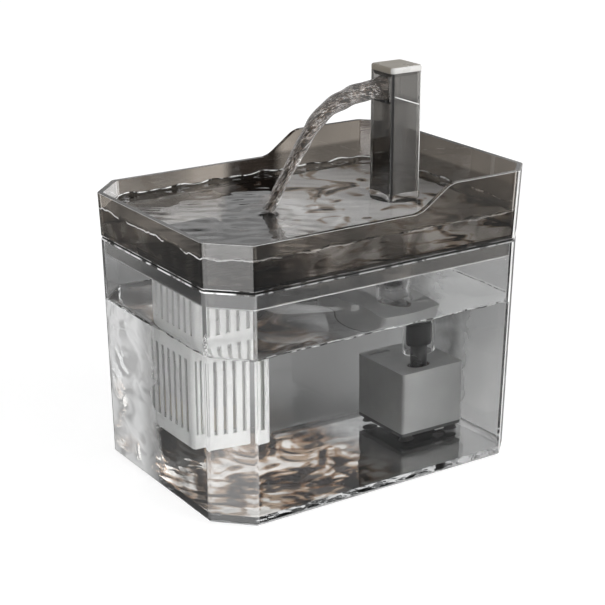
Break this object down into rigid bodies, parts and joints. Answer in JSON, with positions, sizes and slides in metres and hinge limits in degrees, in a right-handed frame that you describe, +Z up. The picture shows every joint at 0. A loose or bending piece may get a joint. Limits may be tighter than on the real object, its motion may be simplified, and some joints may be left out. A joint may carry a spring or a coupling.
{
  "type": "pet water fountain",
  "caption": "Clear tank with a smoky drinking tray, square spout column, hanging filter basket and submersible pump that circulates drinking water for a pet.",
  "frame": {"origin": "on the ground, under the centre of the object", "axes": "+X along the tank towards the spout end, +Z up"},
  "size_m": [0.2023, 0.1528, 0.22],
  "materials": {
    "clear_plastic": "clear moulded acrylic",
    "grey_rubber": "soft grey pads",
    "smoky_plastic": "smoky grey-brown clear acrylic",
    "black_rubber": "black rubber",
    "dark_plastic": "dark brown-black plastic",
    "white_plastic": "white moulded plastic",
    "white_frame_plastic": "off-white plastic",
    "cotton": "white filter cotton",
    "carbon": "black granules",
    "resin": "amber granules",
    "smoky_column_plastic": "smoky grey clear acrylic",
    "taupe_plastic": "taupe grey plastic",
    "smoky_duct_plastic": "smoky clear acrylic",
    "black_plastic": "black plastic",
    "clear_tube_plastic": "clear acrylic tube",
    "grey_plastic": "satin grey plastic",
    "dark_grey_plastic": "satin dark grey plastic",
    "sponge": "dark open foam",
    "pale_plastic": "pale grey plastic",
    "motor_plastic": "black glass-filled plastic",
    "steel_plates": "stacked steel plates",
    "copper_winding": "enamelled copper wire",
    "potting_resin": "potting resin",
    "ceramic_bush": "white ceramic",
    "ceramic_shaft": "polished ceramic",
    "white_impeller_plastic": "white plastic",
    "ferrite": "sintered ferrite",
    "red_rubber": "dark red rubber"
  },
  "bodies": {
    "tank_unit": {"tank": "clear_plastic", "tank_feet": "grey_rubber", "pump_housing": "grey_plastic", "pump_base": "dark_grey_plastic", "suction_cups": "black_rubber", "intake_sponge": "sponge", "pump_body": "motor_plastic", "stator_core": "steel_plates", "stator_coil": "copper_winding", "pump_potting": "potting_resin", "pump_cover": "motor_plastic", "front_bush": "ceramic_bush", "rear_bush": "ceramic_bush", "rotor_shaft": "ceramic_shaft", "outlet_pipe": "black_plastic", "outlet_seal": "red_rubber", "pump_coupler": "black_rubber", "cable_gland": "black_rubber"},
    "tray_unit": {"tray": "smoky_plastic", "tray_skirt": "smoky_plastic", "tray_grommet": "black_rubber", "filter_holder": "dark_plastic"},
    "spout_unit": {"spout_column": "smoky_column_plastic", "spout_cap": "taupe_plastic", "spout_channel": "smoky_duct_plastic", "spout_lip": "black_plastic", "riser_tube": "clear_tube_plastic"},
    "cage_unit": {"filter_cage": "white_plastic", "cage_collar": "white_plastic"},
    "cartridge_unit": {"filter_frame": "white_frame_plastic", "frame_top": "white_frame_plastic", "filter_cotton": "cotton", "filter_carbon": "carbon", "filter_resin": "resin"},
    "cover_unit": {"filter_cover": "dark_plastic"},
    "rotor_unit": {"impeller": "white_impeller_plastic", "rotor_magnet": "ferrite"},
    "slider_unit": {"flow_slider": "pale_plastic"}
  },
  "joints": [
    {"name": "tray_lift", "type": "slide", "parent": "tank_unit", "child": "tray_unit", "axis": [0, 0, 1], "range_m": [0, 0.12]},
    {"name": "spout_lift", "type": "slide", "parent": "tray_unit", "child": "spout_unit", "axis": [0, 0, 1], "range_m": [0, 0.12]},
    {"name": "cage_lift", "type": "slide", "parent": "tray_unit", "child": "cage_unit", "axis": [0, 0, 1], "range_m": [0, 0.125]},
    {"name": "cartridge_lift", "type": "slide", "parent": "cage_unit", "child": "cartridge_unit", "axis": [0, 0, 1], "range_m": [0, 0.12]},
    {"name": "cover_lift", "type": "slide", "parent": "cartridge_unit", "child": "cover_unit", "axis": [0, 0, 1], "range_m": [0, 0.04]},
    {"name": "impeller_spin", "type": "hinge", "parent": "tank_unit", "child": "rotor_unit", "pos_m": [0.0625, 0, 0.029], "axis": [0, 1, 0], "continuous": true},
    {"name": "flow_slide", "type": "slide", "parent": "tank_unit", "child": "slider_unit", "axis": [-1, 0, 0], "range_m": [0, 0.008]}
  ]
}
